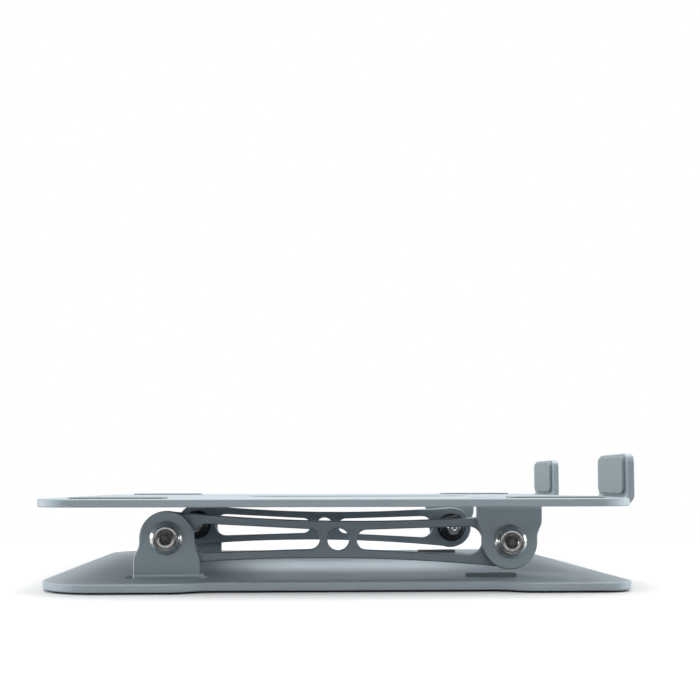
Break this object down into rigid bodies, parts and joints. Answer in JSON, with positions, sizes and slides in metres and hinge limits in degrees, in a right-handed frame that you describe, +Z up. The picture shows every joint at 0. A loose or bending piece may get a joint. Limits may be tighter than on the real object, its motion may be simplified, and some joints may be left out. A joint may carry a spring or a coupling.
{
  "type": "laptop stand",
  "caption": "Folding aluminium laptop stand with a flat base, swinging slotted arms on friction hinges, and a vented tray with padded front hooks.",
  "frame": {"origin": "on the table under the middle of the stand's width and depth", "axes": "+X to the user's right, -Y towards the user and the hooks, +Z up"},
  "size_m": [0.23, 0.2574, 0.0578],
  "materials": {
    "plate": "satin blasted and anodised blue-grey",
    "arm": "satin anodised slate grey",
    "bolt_steel": "turned stainless",
    "black_steel": "black oxide",
    "nylon": "matt",
    "grip_pad": "matt grey silicone",
    "arm_rest": "matt dark rubber",
    "foot_rubber": "matt black rubber"
  },
  "bodies": {
    "base": {"base_plate": "plate", "rear_left_bolt": "bolt_steel", "rear_left_friction_washer": "nylon", "rear_left_inner_washer": "black_steel", "rear_left_disc_spring": "black_steel", "rear_left_lock_nut": "black_steel", "rear_right_bolt": "bolt_steel", "rear_right_friction_washer": "nylon", "rear_right_inner_washer": "black_steel", "rear_right_disc_spring": "black_steel", "rear_right_lock_nut": "black_steel", "rear_left_foot": "foot_rubber", "rear_right_foot": "foot_rubber", "front_left_foot": "foot_rubber", "front_right_foot": "foot_rubber", "left_arm_rest": "arm_rest", "right_arm_rest": "arm_rest"},
    "arm_left": {"arm_left": "arm"},
    "arm_right": {"arm_right": "arm"},
    "front_pivots": {"front_left_bolt": "bolt_steel", "front_left_friction_washer": "nylon", "front_left_inner_washer": "black_steel", "front_left_disc_spring": "black_steel", "front_left_lock_nut": "black_steel", "front_right_bolt": "bolt_steel", "front_right_friction_washer": "nylon", "front_right_inner_washer": "black_steel", "front_right_disc_spring": "black_steel", "front_right_lock_nut": "black_steel"},
    "tray": {"tray_plate": "plate", "rear_left_tray_pad": "grip_pad", "rear_right_tray_pad": "grip_pad", "front_left_tray_pad": "grip_pad", "front_right_tray_pad": "grip_pad", "left_hook_pad": "grip_pad", "right_hook_pad": "grip_pad"}
  },
  "joints": [
    {"name": "arm_lift", "type": "hinge", "parent": "base", "child": "arm_left", "pos_m": [0, 0.07595, 0.0212], "axis": [-1, 0, 0], "range_deg": [0, 75]},
    {"name": "arm_lift_right", "type": "hinge", "parent": "base", "child": "arm_right", "pos_m": [0, 0.07595, 0.0212], "axis": [-1, 0, 0], "range_deg": [0, 75]},
    {"name": "front_pivot_level", "type": "hinge", "parent": "arm_left", "child": "front_pivots", "pos_m": [0, -0.07335, 0.0193], "axis": [-1, 0, 0], "range_deg": [-75, 0]},
    {"name": "tray_tilt", "type": "hinge", "parent": "front_pivots", "child": "tray", "pos_m": [0, -0.07335, 0.0193], "axis": [1, 0, 0], "range_deg": [0, 34]}
  ],
  "couplings": [
    {"joint": "arm_lift_right", "follows": "arm_lift", "ratio": 1},
    {"joint": "front_pivot_level", "follows": "arm_lift", "ratio": -1}
  ]
}
